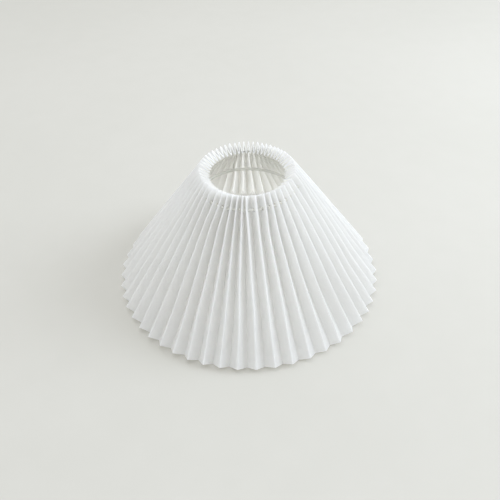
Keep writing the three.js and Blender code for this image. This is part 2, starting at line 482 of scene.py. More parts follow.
@dataclass(frozen=True)
class LaminatedCloth:
    """One face of thin cloth on a stiff film, which lets a good part of the light through."""

    name: str
    body: Colour
    shade: Colour
    glow: Colour
    rubbed: Colour = (0.98, 0.98, 0.98, 1)
    glow_share: float = 0.62
    threads: float = 2600.0
    roughness: float = 0.62
    sheen: float = 0.25

    def material(self) -> bpy.types.Material:
        """Builds the cloth.

        Returns:
            The material.
        """
        material, nodes = new_material(self.name)
        flat = nodes.add("ShaderNodeUVMap", uv_map="strip").outputs[0]
        solid = nodes.add("ShaderNodeTexCoord").outputs["Object"]
        crease = nodes.add("ShaderNodeAttribute", attribute_name="crease").outputs["Fac"]
        weave = Weave.place(nodes, Vector=flat, Threads=self.threads, Unevenness=0.5)
        tone = Mottle.place(nodes, Vector=solid, Low=0.0, High=1.0, Coarse=18.0, Fine=240.0)["Value"]
        rub = Wear.place(nodes, Vector=solid, Edge=crease, Amount=0.75, Grain=900.0)["Mask"]
        colour = nodes.blend(nodes.math("MULTIPLY", tone, 0.55), self.body, self.shade)
        # Painted shade: the weave's low gaps are mixed about a third of the way towards the darker shade
        # colour.
        colour = nodes.blend(nodes.math("MULTIPLY", weave["Gaps"], 0.35), colour, self.shade)
        colour = nodes.blend(rub, colour, self.rubbed)
        rough = nodes.math("MULTIPLY_ADD", tone, 0.12, self.roughness)
        bump = nodes.add(
            "ShaderNodeBump",
            {"Strength": 0.55, "Distance": 0.00009, "Height": weave["Height"]},
        )
        slow = nodes.add(
            "ShaderNodeBump",
            {"Strength": 0.35, "Distance": 0.0006, "Height": tone, "Normal": bump.outputs[0]},
        )
        surface = nodes.add(
            "ShaderNodeBsdfPrincipled",
            {
                "Base Color": colour,
                "Roughness": rough,
                "Normal": slow.outputs[0],
                "Specular IOR Level": 0.35,
                "Sheen Weight": self.sheen,
                "Sheen Roughness": 0.5,
            },
        )
        through = nodes.add("ShaderNodeBsdfTranslucent", {"Color": self.glow, "Normal": slow.outputs[0]})
        shares = {0: self.glow_share, 1: surface.outputs[0], 2: through.outputs[0]}
        both = nodes.add("ShaderNodeMixShader", shares)
        nodes.add("ShaderNodeOutputMaterial", {0: both.outputs[0]})
        return material


@dataclass(frozen=True)
class CottonCord:
    """White twisted cotton with fine fibres along each strand."""

    body: Colour = (0.86, 0.86, 0.83, 1)
    shade: Colour = (0.66, 0.65, 0.60, 1)

    def material(self) -> bpy.types.Material:
        """Builds the cotton.

        Returns:
            The material.
        """
        material, nodes = new_material("cotton_cord")
        solid = nodes.add("ShaderNodeTexCoord").outputs["Object"]
        fibres = nodes.noise(solid, 5200.0, 5.0, 0.7)
        tone = Mottle.place(nodes, Vector=solid, Low=0.0, High=0.5, Coarse=120.0, Fine=1500.0)["Value"]
        colour = nodes.blend(tone, self.body, self.shade)
        bump = nodes.add("ShaderNodeBump", {"Strength": 0.6, "Distance": 0.0001, "Height": fibres})
        surface = nodes.add(
            "ShaderNodeBsdfPrincipled",
            {
                "Base Color": colour,
                "Roughness": nodes.math("MULTIPLY_ADD", fibres, 0.15, 0.78),
                "Normal": bump.outputs[0],
                "Specular IOR Level": 0.25,
                "Sheen Weight": 0.5,
                "Sheen Roughness": 0.45,
            },
        )
        nodes.add("ShaderNodeOutputMaterial", {0: surface.outputs[0]})
        return material


@dataclass(frozen=True)
class LacqueredSteel:
    """Steel under a thin coat of pale lacquer, rubbed through on its sharpest edges."""

    name: str
    body: Colour
    shade: Colour
    steel: Colour = (0.42, 0.41, 0.39, 1)
    peel: float = 900.0
    wear: float = 0.6
    roughness: float = 0.34

    def material(self) -> bpy.types.Material:
        """Builds the lacquer.

        Returns:
            The material.
        """
        material, nodes = new_material(self.name)
        solid = nodes.add("ShaderNodeTexCoord").outputs["Object"]
        pointed = nodes.add("ShaderNodeNewGeometry").outputs["Pointiness"]
        edge = nodes.between(pointed, 0.52, 0.6)
        tone = Mottle.place(nodes, Vector=solid, Low=0.0, High=1.0, Coarse=45.0, Fine=600.0)["Value"]
        bare = Wear.place(nodes, Vector=solid, Edge=edge, Amount=self.wear, Grain=1400.0)["Mask"]
        colour = nodes.blend(nodes.math("MULTIPLY", tone, 0.6), self.body, self.shade)
        colour = nodes.blend(bare, colour, self.steel)
        peel = nodes.noise(solid, self.peel, 2.0)
        bump = nodes.add("ShaderNodeBump", {"Strength": 0.25, "Distance": 0.0001, "Height": peel})
        surface = nodes.add(
            "ShaderNodeBsdfPrincipled",
            {
                "Base Color": colour,
                "Metallic": bare,
                "Roughness": nodes.math("MULTIPLY_ADD", tone, 0.16, self.roughness),
                "Coat Weight": nodes.between(bare, 1.0, 0.0, 0.0, 0.35),
                "Coat Roughness": 0.2,
                "Normal": bump.outputs[0],
            },
        )
        nodes.add("ShaderNodeOutputMaterial", {0: surface.outputs[0]})
        return material


@dataclass(frozen=True)
class PaleFloor:
    """A matt, pale floor with barely visible tone in it."""

    body: Colour = (0.581, 0.567, 0.527, 1)
    shade: Colour = (0.567, 0.554, 0.513, 1)

    def material(self) -> bpy.types.Material:
        """Builds the floor's paint.

        Returns:
            The material.
        """
        material, nodes = new_material("pale_floor")
        solid = nodes.add("ShaderNodeTexCoord").outputs["Object"]
        tone = Mottle.place(nodes, Vector=solid, Low=0.0, High=1.0, Coarse=3.0, Fine=30.0)["Value"]
        surface = nodes.add(
            "ShaderNodeBsdfPrincipled",
            {
                "Base Color": nodes.blend(tone, self.body, self.shade),
                "Roughness": 0.9,
                "Specular IOR Level": 0.1,
            },
        )
        nodes.add("ShaderNodeOutputMaterial", {0: surface.outputs[0]})
        return material


# ---- The cone ----------------------------------------------------------------------------------


@dataclass(frozen=True)
class Cone:
    """The cone that the pleats follow, halfway between their inner and outer folds."""

    pleats: int = 54
    panel: float = 11.2 * MM
    slope: float = 160 * MM
    bottom: float = 136.5 * MM
    top: float = 41.5 * MM
    cloth: float = 0.5 * MM
    first_fold: float = math.radians(1.7)
    hole_inset: float = 13 * MM

    @property
    def sine(self) -> float:
        """Sine of the slope's lean from upright."""
        return (self.bottom - self.top) / self.slope

    @property
    def cosine(self) -> float:
        """Cosine of the slope's lean from upright."""
        return math.sqrt(1 - self.sine**2)

    @property
    def pleat_angle(self) -> float:
        """Angle from one outer fold to the next."""
        return 2 * math.pi / self.pleats

    @property
    def hole_share(self) -> float:
        """Share of the slope at which the cord holes lie."""
        return 1 - self.hole_inset / self.slope

    @property
    def cord_radius(self) -> float:
        """Radius of the ring of cord holes."""
        return float(self.radius(self.hole_share))

    @property
    def cord_height(self) -> float:
        """Height of the ring of cord holes."""
        return float(self.height(self.hole_share))

    def radius(self, share: Any) -> Any:
        """Middle radius at a share of the way up the slope."""
        return self.bottom + (self.top - self.bottom) * np.asarray(share, float)

    def span(self, share: Any) -> Any:
        """Width that an even panel takes up along the circumference."""
        return 2 * self.radius(share) * math.sin(self.pleat_angle / 4)

    def half_depth(self, share: Any) -> Any:
        """Half the depth of an even pleat, square to the slope."""
        return np.sqrt(self.panel**2 - self.span(share) ** 2) / 2

    def height(self, share: Any) -> Any:
        """Height of the middle line at a share of the way up the slope."""
        foot = (self.half_depth(0) + self.cloth / 2 * self.span(0) / self.panel) * self.sine
        return foot + self.slope * self.cosine * np.asarray(share, float)

    def fold_line(self, side: int) -> tuple[np.ndarray, np.ndarray]:
        """Radius and height of an outer (+1) or inner (-1) fold at its low and high ends."""
        ends = np.array([0.0, 1.0])
        depth = side * self.half_depth(ends)
        return self.radius(ends) + depth * self.cosine, self.height(ends) + depth * self.sine

    def fold_radius(self, side: int, height: float) -> float:
        """Radius of an outer or inner fold where it passes a height."""
        radii, heights = self.fold_line(side)
        share = (height - heights[0]) / (heights[1] - heights[0])
        return float(radii[0] + (radii[1] - radii[0]) * share)


CONE = Cone()
HOOK_FOLDS = (-25, -7, 11)


# ---- Pleated sheet -----------------------------------------------------------------------------


@dataclass(frozen=True)
class Shift:
    """How far round from even spacing the outer folds sit at one level of the slope.

    Each pair is an evenly spaced azimuth and the shift there, both in degrees.
    """

    share: float
    pairs: tuple[tuple[float, float], ...]

    def at(self, azimuth: np.ndarray) -> np.ndarray:
        """Gives the shifts in degrees for folds at evenly spaced azimuths in degrees."""
        places, shifts = np.array(self.pairs).T
        return np.interp(azimuth, places, shifts, period=360)


@dataclass
class PleatedSheet:
    """The folded strip, its creases, punched holes, glued lap and turned hem."""

    cone: Cone
    finish: LaminatedCloth
    backing: LaminatedCloth
    seam_fold: int = 13
    lap_width: float = 8 * MM
    lap_glue: float = 0.08 * MM
    thickness: float = 0.42 * MM
    crease: float = 0.36 * MM
    hole: float = 1.9 * MM
    arc_points: int = 5
    hem: float = 7.9 * MM
    hem_extra: float = 0.22 * MM
    lip_curl: float = 1.3 * MM
    foot_clearance: float = 0.2 * MM
    seed: int = 11
    shifts: tuple[Shift, ...] = (
        Shift(
            0.35,
            (
                (-98, 0), (-5, -0.3), (2, 0.2), (15, 1.3), (28, 2.7), (48, 4.8), (62, 3.8),
                (82, 3.3), (142, 8.2), (208, -4.2), (262, 0),
            ),
        ),
        Shift(
            0.8,
            (
                (-98, 0), (-12, 0), (1.7, -1.6), (8.4, 0), (28, 3.1), (48, 6), (62, 9.2),
                (82, 8.7), (142, 8.2), (208, -2), (262, 0),
            ),
        ),
        Shift(
            0.92,
            (
                (-105, 0), (-98.3, -1.2), (-91.6, 1.2), (-85, 0), (-45, 0), (-38, 1.8),
                (-25, 1.8), (-5, -1.1), (1.7, -3.1), (8.4, 0), (15, 2.9), (28, 3.5), (48, 5.9),
                (55, 7.7), (61.7, 13.33), (81.7, 9.4), (88.4, 9.4), (95, 12.6), (195, 0),
            ),
        ),
    )
    outer_wander: float = 0.32
    inner_wander: float = 0.3
    hook_wander: float = 0.15
    depth_wander: float = 0.22 * MM
    bow: float = 0.16 * MM
    lip_share: float = 0.15
    least_depth: float = 4 * MM
    rim: float = 1.18
    block: tuple[float, ...] = (-2.6 * MM, -1.3 * MM, 0.0, 1.3 * MM, 2.6 * MM)
    low_rows: tuple[float, ...] = (0, 0.8, 4, 7.6, 8.1, 13, 20, 28, 36, 44, 52, 60, 68, 76, 84, 92)
    high_rows: tuple[float, ...] = (100, 108, 116, 124, 131, 137, 141.5)
    top_rows: tuple[float, ...] = (152.5, 156, 159.2, 160)

    def rows(self) -> np.ndarray:
        """Shares of the slope at which the strip has points, with the hole rows among them."""
        middle = self.cone.slope * self.cone.hole_share
        levels = [np.array(self.low_rows + self.high_rows) * MM]
        levels += [middle + np.array(self.block), np.array(self.top_rows) * MM]
        return np.concatenate(levels) / self.cone.slope

    def hole_row(self) -> int:
        """Number of the row where the holes' blocks start."""
        return len(self.low_rows) + len(self.high_rows)

    def smooth_noise(self, draw: np.random.Generator, count: int, share: np.ndarray) -> np.ndarray:
        """Draws a slow random wander for each fold.

        Args:
            draw: The seeded generator.
            count: Number of folds.
            share: The rows' shares of the slope.

        Returns:
            Values of about -1 to 1, one row for each share.
        """
        marks = np.linspace(0, 1, 5)
        values = draw.normal(0, 0.5, (len(marks), count))
        return np.stack([np.interp(share, marks, values[:, i]) for i in range(count)], axis=1)

    def fold_azimuths(self, share: np.ndarray, draw: np.random.Generator) -> np.ndarray:
        """Gives every fold's azimuth along the strip, in radians.

        Args:
            share: The rows' shares of the slope.
            draw: The seeded generator.

        Returns:
            One row for each share, one column for each fold, the closing fold included.
        """
        pleats = self.cone.pleats
        numbers = self.seam_fold + np.arange(pleats)
        even = np.degrees(self.cone.first_fold + numbers * self.cone.pleat_angle)
        levels = np.stack([shift.at(even) for shift in self.shifts])
        marks = [shift.share for shift in self.shifts]
        outer = even + np.stack([np.interp(share, marks, level) for level in levels.T], axis=1)
        hooks = np.degrees(self.cone.first_fold + np.array(HOOK_FOLDS) * self.cone.pleat_angle)
        away = (even[:, None] + levels[-1][:, None] - hooks + 180) % 360 - 180
        held = np.abs(away).min(axis=1) < 1
        freedom = np.where(held, self.hook_wander, 1)
        outer += self.outer_wander * self.smooth_noise(draw, pleats, share) * freedom
        closing = outer[:, :1] + 360
        ridges = np.concatenate([outer, closing], axis=1)
        valleys = (ridges[:, 1:] + ridges[:, :-1]) / 2
        valleys += self.inner_wander * self.smooth_noise(draw, pleats, share)
        folds = np.empty((len(share), 2 * pleats + 1))
        folds[:, 0::2] = ridges
        folds[:, 1::2] = valleys
        return np.radians(folds)

    def fold_points(self, share: np.ndarray, draw: np.random.Generator) -> np.ndarray:
        """Gives the fold lines on the flattened cone that stands square to the slope.

        Args:
            share: The rows' shares of the slope.
            draw: The seeded generator.

        Returns:
            Flat points, one row for each share and one column for each fold and the lap's end.
        """
        cone = self.cone
        azimuths = self.fold_azimuths(share, draw)
        count = azimuths.shape[1]
        spans = 2 * cone.radius(share)[:, None] * np.sin(np.diff(azimuths, axis=1) / 2)
        depths = np.sqrt(np.maximum(cone.panel**2 - spans**2, self.least_depth**2))
        around = np.concatenate([depths[:, -1:], depths, depths[:, :1]], axis=1)
        half = (around[:, :-1] + around[:, 1:]) / 4
        side = np.where(np.arange(count) % 2 == 0, 1.0, -1.0)
        wander = self.depth_wander * self.smooth_noise(draw, count, share)
        wander[:, -1] = wander[:, 0]
        curl = self.lip_curl * np.clip((share - cone.hole_share) / (1 - cone.hole_share), 0, 1) ** 1.5
        reach = cone.radius(share)[:, None] / cone.cosine + side * half + wander
        reach -= np.where(side < 0, 1.0, self.lip_share) * curl[:, None]
        angle = azimuths * cone.cosine
        folds = np.stack([reach * np.sin(angle), -reach * np.cos(angle)], axis=-1)
        turn = 2 * math.pi * cone.cosine
        spin = np.array([[math.cos(turn), -math.sin(turn)], [math.sin(turn), math.cos(turn)]])
        next_valley = folds[:, 1] @ spin.T
        to_next = unit(next_valley - folds[:, -1])
        to_last = unit(folds[:, -2] - folds[:, -1])
        cross = np.abs(to_next[:, 0] * to_last[:, 1] - to_next[:, 1] * to_last[:, 0])[:, None]
        lap = folds[:, -1] + to_last * (self.thickness + self.lap_glue) / cross
        end = lap + to_next * self.lap_width
        return np.concatenate([folds[:, :-1], lap[:, None], end[:, None]], axis=1)

    def belt(self, folds: np.ndarray) -> tuple[list[np.ndarray], list[float], list[int]]:
        """Lays the cloth round the folds as straight panels between rounded creases.

        Args:
            folds: The flat fold points of every row.

        Returns:
            The columns of flat points, how much of a crease each one is, and the number of the
            first column of every hole's block.
        """
        count = folds.shape[1]
        turns = np.where(np.arange(count) % 2 == 0, 1.0, -1.0)
        radii = np.full(count, self.crease)
        radii[0] = radii[-1] = 0.0
        reach = np.linalg.norm(folds, axis=-1, keepdims=True)
        centres = folds * (1 - (turns * radii)[None, :, None] / reach)
        gaps = np.diff(centres, axis=1)
        length = np.linalg.norm(gaps, axis=-1)
        lean = np.diff(turns * radii)[None, :] / length
        heading = gaps / length[..., None]
        heading = np.sqrt(1 - lean**2)[..., None] * heading - lean[..., None] * turned(heading)
        square = turned(heading)
        columns: list[np.ndarray] = [folds[:, 0]]
        creased: list[float] = [1.0]
        blocks: list[int] = []
        for i in range(count - 1):
            start = centres[:, i] - turns[i] * radii[i] * square[:, i]
            stop = centres[:, i + 1] - turns[i + 1] * radii[i + 1] * square[:, i]
            if i < count - 2:
                blocks.append(len(columns))
                for offset in self.block:
                    columns.append((start + stop) / 2 + heading[:, i] * offset)
                    creased.append(0.0)
                turning = np.arctan2(
                    heading[:, i, 0] * heading[:, i + 1, 1] - heading[:, i, 1] * heading[:, i + 1, 0],
                    (heading[:, i] * heading[:, i + 1]).sum(-1),
                )
                for part in np.linspace(0, 1, self.arc_points):
                    angle = turning * part
                    cos, sin = np.cos(angle)[:, None], np.sin(angle)[:, None]
                    spoke = square[:, i] * cos + turned(square[:, i]) * sin
                    columns.append(centres[:, i + 1] - turns[i + 1] * radii[i + 1] * spoke)
                    creased.append(0.25 if part in (0, 1) else 1.0)
            else:
                columns.extend([(start + stop) / 2, stop])
                creased.extend([0.0, 0.0])
        return columns, creased, blocks

    def raised(self, columns: list[np.ndarray], share: np.ndarray) -> np.ndarray:
        """Rolls the flat columns back up into the cone.

        Args:
            columns: The flat points of every column.
            share: The rows' shares of the slope.

        Returns:
            Points in space, rows by columns.
        """
        cone = self.cone
        flat = np.stack(columns, axis=1)
        reach = np.linalg.norm(flat, axis=-1)
        angle = np.unwrap(np.arctan2(flat[..., 0], -flat[..., 1]), axis=1)
        middle = cone.radius(share)[:, None] / cone.cosine
        height = cone.height(share)[:, None] + (reach - middle) * cone.sine
        return azimuth_point(reach * cone.cosine, angle / cone.cosine, height)

    def bowed(
        self, grid: np.ndarray, blocks: list[int], share: np.ndarray, draw: np.random.Generator
    ) -> None:
        """Bows each panel slightly, as a hand-folded sheet has it.

        Args:
            grid: The points, changed in place.
            blocks: The first column of every hole's block.
            share: The rows' shares of the slope.
            draw: The seeded generator.
        """
        swell = self.smooth_noise(draw, len(blocks), share) * np.sin(np.clip(share, 0, 1) * math.pi)[:, None]
        for panel, column in enumerate(blocks):
            across = grid[:, column + 4] - grid[:, column]
            along = np.gradient(grid[:, column + 2], axis=0)
            square = unit(np.cross(across, along))
            for step, hump in enumerate((0.75, 0.95, 1.0, 0.95, 0.75)):
                grid[:, column + step] += square * (self.bow * hump) * swell[:, panel : panel + 1]

    def assemble(self) -> bpy.types.Object:
        """Makes the sheet's middle surface, with its holes, as an open mesh.

        Returns:
            The object, with the strip's own coordinates and its creases marked.
        """
        draw = np.random.default_rng(self.seed)
        share = self.rows()
        columns, creased, blocks = self.belt(self.fold_points(share, draw))
        grid = self.raised(columns, share)
        self.bowed(grid, blocks, share, draw)
        lift = max(0.0, CAD_BOX[0].z + self.foot_clearance - grid[..., 2].min())
        grid[..., 2] += lift * (1 - share[:, None]) ** 2
        rows, width = grid.shape[:2]
        steps = np.linalg.norm(np.diff(grid[rows // 2], axis=0), axis=1)
        run = np.concatenate([[0], np.cumsum(steps)])
        points = list(grid.reshape(-1, 3))
        strip = [(run[c], share[r] * self.cone.slope) for r in range(rows) for c in range(width)]
        marks = list(np.tile(creased, rows))
        base = self.hole_row()
        punched = {(r, c + k) for c in blocks for r in range(base, base + 4) for k in range(4)}
        faces = [
            (r * width + c, r * width + c + 1, (r + 1) * width + c + 1, (r + 1) * width + c)
            for r in range(rows - 1)
            for c in range(width - 1)
            if (r, c) not in punched
        ]
        border = [(2, 4), (3, 4), (4, 4), (4, 3), (4, 2), (4, 1), (4, 0), (3, 0)]
        border += [(2, 0), (1, 0), (0, 0), (0, 1), (0, 2), (0, 3), (0, 4), (1, 4)]
        angles = np.arange(16) * math.pi / 8
        for column in blocks:
            centre = grid[base + 2, column + 2]
            across = unit(grid[base + 2, column + 4] - grid[base + 2, column])
            along = unit(grid[base + 4, column + 2] - grid[base, column + 2])
            outer = [(base + r) * width + column + c for r, c in border]
            for radius in (self.hole * self.rim, self.hole):
                ring = []
                for angle in angles:
                    shift = (math.cos(angle) * radius, math.sin(angle) * radius)
                    ring.append(len(points))
                    points.append(centre + across * shift[0] + along * shift[1])
                    strip.append((run[column + 2] + shift[0], share[base + 2] * self.cone.slope + shift[1]))
                    marks.append(0.9 if radius == self.hole else 0.2)
                faces += [(outer[i], outer[(i + 1) % 16], ring[(i + 1) % 16], ring[i]) for i in range(16)]
                outer = ring
        used = np.unique([v for face in faces for v in face])
        renumber = np.full(len(points), -1)
        renumber[used] = np.arange(len(used))
        faces = [[int(renumber[v]) for v in face] for face in faces]
        sheet = mesh_object("pleated_cover", np.array(points)[used], faces)
        layer = sheet.data.uv_layers.new(name="strip")
        corners = np.empty(len(sheet.data.loops), int)
        sheet.data.loops.foreach_get("vertex_index", corners)
        layer.data.foreach_set("uv", np.array(strip)[used][corners].ravel())
        mark = sheet.data.attributes.new("crease", "FLOAT", "POINT")
        mark.data.foreach_set("value", np.array(marks)[used])
        hem = sheet.vertex_groups.new(name="hem")
        folded = np.nonzero(np.array(strip)[used][:, 1] <= self.hem)[0]
        hem.add(folded.tolist(), 1.0, "REPLACE")
        return sheet

    def build(self) -> bpy.types.Object:
        """Makes the finished sheet.

        Returns:
            The sheet, dressed, declared and riding on the cover.
        """
        sheet = self.assemble()
        full = self.thickness + self.hem_extra
        skin = sheet.modifiers.new("cloth", "SOLIDIFY")
        skin.thickness = full
        skin.offset = 0
        skin.vertex_group = "hem"
        skin.thickness_vertex_group = self.thickness / full
        skin.use_even_offset = False
        for face in (self.finish, self.backing):
            sheet.data.materials.append(face.material())
        skin.material_offset = 1
        bpy.context.view_layer.update()
        solid = bpy.data.meshes.new_from_object(sheet.evaluated_get(bpy.context.evaluated_depsgraph_get()))
        sheet.modifiers.clear()
        sheet.data = solid
        sharpen(sheet, 55)
        settle(sheet, Body.COVER, ("pleated_sheet",))
        return sheet


# ---- Drawcord ----------------------------------------------------------------------------------


@dataclass
class Drawcord:
    """The twisted cord that gathers the neck, with its knot and two short tails inside."""

    cone: Cone
    finish: CottonCord
    diameter: float = 1.8 * MM
    strands: int = 3
    lay: float = 4.6 * MM
    knot_fold: float = 2.5
    tail: float = 13 * MM
    seed: int = 5

    def knot_azimuth(self) -> float:
        """Azimuth of the inner fold that the knot is tied over."""
        return self.cone.first_fold + self.knot_fold * self.cone.pleat_angle

    def twisted(self, path: np.ndarray, closed: bool, fray: float = 0.0) -> list[bpy.types.Object]:
        """Lays the strands round a middle line.

        Args:
            path: The cord's middle line.
            closed: Whether it is a loop.
            fray: How far the strands spread at the last point, as a share of the diameter.

        Returns:
            The strands.
        """
        along = np.roll(path, -1, 0) - np.roll(path, 1, 0) if closed else np.gradient(path, axis=0)
        ahead = unit(along)
        hint = np.array([0.31, 0.17, 0.94]) if closed else np.array([0.93, 0.36, 0.05])
        across = unit(np.cross(hint, ahead))
        upright = np.cross(ahead, across)
        steps = np.linalg.norm(np.diff(path, axis=0), axis=1)
        run = np.concatenate([[0], np.cumsum(steps)])
        total = run[-1] + (np.linalg.norm(path[0] - path[-1]) if closed else 0)
        turns = round(total / self.lay) if closed else total / self.lay
        strand = self.diameter / 2 * 0.5
        offset = self.diameter / 2 - strand
        spread = 1 + fray * np.clip(run / total * 3 - 2, 0, 1) ** 2 * 2
        pieces = []
        for number in range(self.strands):
            angle = 2 * math.pi * (turns * run / total + number / self.strands)
            shift = np.cos(angle)[:, None] * across + np.sin(angle)[:, None] * upright
            line = path + shift * (offset * spread)[:, None]
            pieces.append(sweep("strand", line, strand, 7, closed, hint))
        return pieces

    def loop(self) -> np.ndarray:
        """Gives the loop's middle line: a ring that dips inwards over one fold to be tied."""
        draw = np.random.default_rng(self.seed)
        count = 900
        azimuth = np.linspace(0, 2 * math.pi, count, endpoint=False)
        away = (azimuth - self.knot_azimuth() + math.pi) % (2 * math.pi) - math.pi
        half_pleat = self.cone.pleat_angle / 2
        dip = np.cos(np.clip(np.abs(away) / (1.25 * half_pleat), 0, 1) * math.pi / 2) ** 0.8
        radius = self.cone.cord_radius - dip * 6.2 * MM
        sag = np.interp(np.linspace(0, 12, count), np.arange(13), np.append(draw.normal(0, 0.12, 12), 0))
        return azimuth_point(radius, azimuth, self.cone.cord_height + sag * MM * (1 - dip))

    def knot(self) -> list[bpy.types.Object]:
        """Makes the knot and its tails."""
        azimuth = self.knot_azimuth()
        inward = azimuth_point(-1.0, azimuth, 0.0)
        sideways = azimuth_point(1.0, azimuth + math.pi / 2, 0.0)
        up = np.array([0.0, 0.0, 1.0])
        centre = azimuth_point(self.cone.cord_radius - 7.0 * MM, azimuth, self.cone.cord_height - 0.4 * MM)
        turn = np.linspace(0, 2 * math.pi, 96, endpoint=False)[:, None]
        shape = (np.sin(turn) + 2 * np.sin(2 * turn)) * sideways * 0.72
        shape = shape + (np.cos(turn) - 2 * np.cos(2 * turn)) * up * 0.66 - np.sin(3 * turn) * inward * 0.85
        pieces = self.twisted(centre + shape * MM, True)
        for side, length in ((-1, self.tail), (1, self.tail * 0.8)):
            knots = [
                centre + side * 1.0 * MM * sideways - 0.6 * MM * up,
                centre + side * 2.1 * MM * sideways - 0.25 * length * up + 0.9 * MM * inward,
                centre + side * 3.4 * MM * sideways - 0.62 * length * up + 1.0 * MM * inward,
                centre + side * 3.9 * MM * sideways - length * up + 0.4 * MM * inward,
            ]
            pieces += self.twisted(centripetal(np.array(knots), 44), False, fray=0.8)
        return pieces

    def build(self) -> bpy.types.Object:
        """Makes the finished cord.

        Returns:
            The cord, dressed and riding on the cover.
        """
        cord = join("drawcord_twisted", self.twisted(self.loop(), True) + self.knot())
        cord.data.materials.append(self.finish.material())
        return settle(cord, Body.COVER, ("drawcord",))


# ---- Wire carrier ------------------------------------------------------------------------------


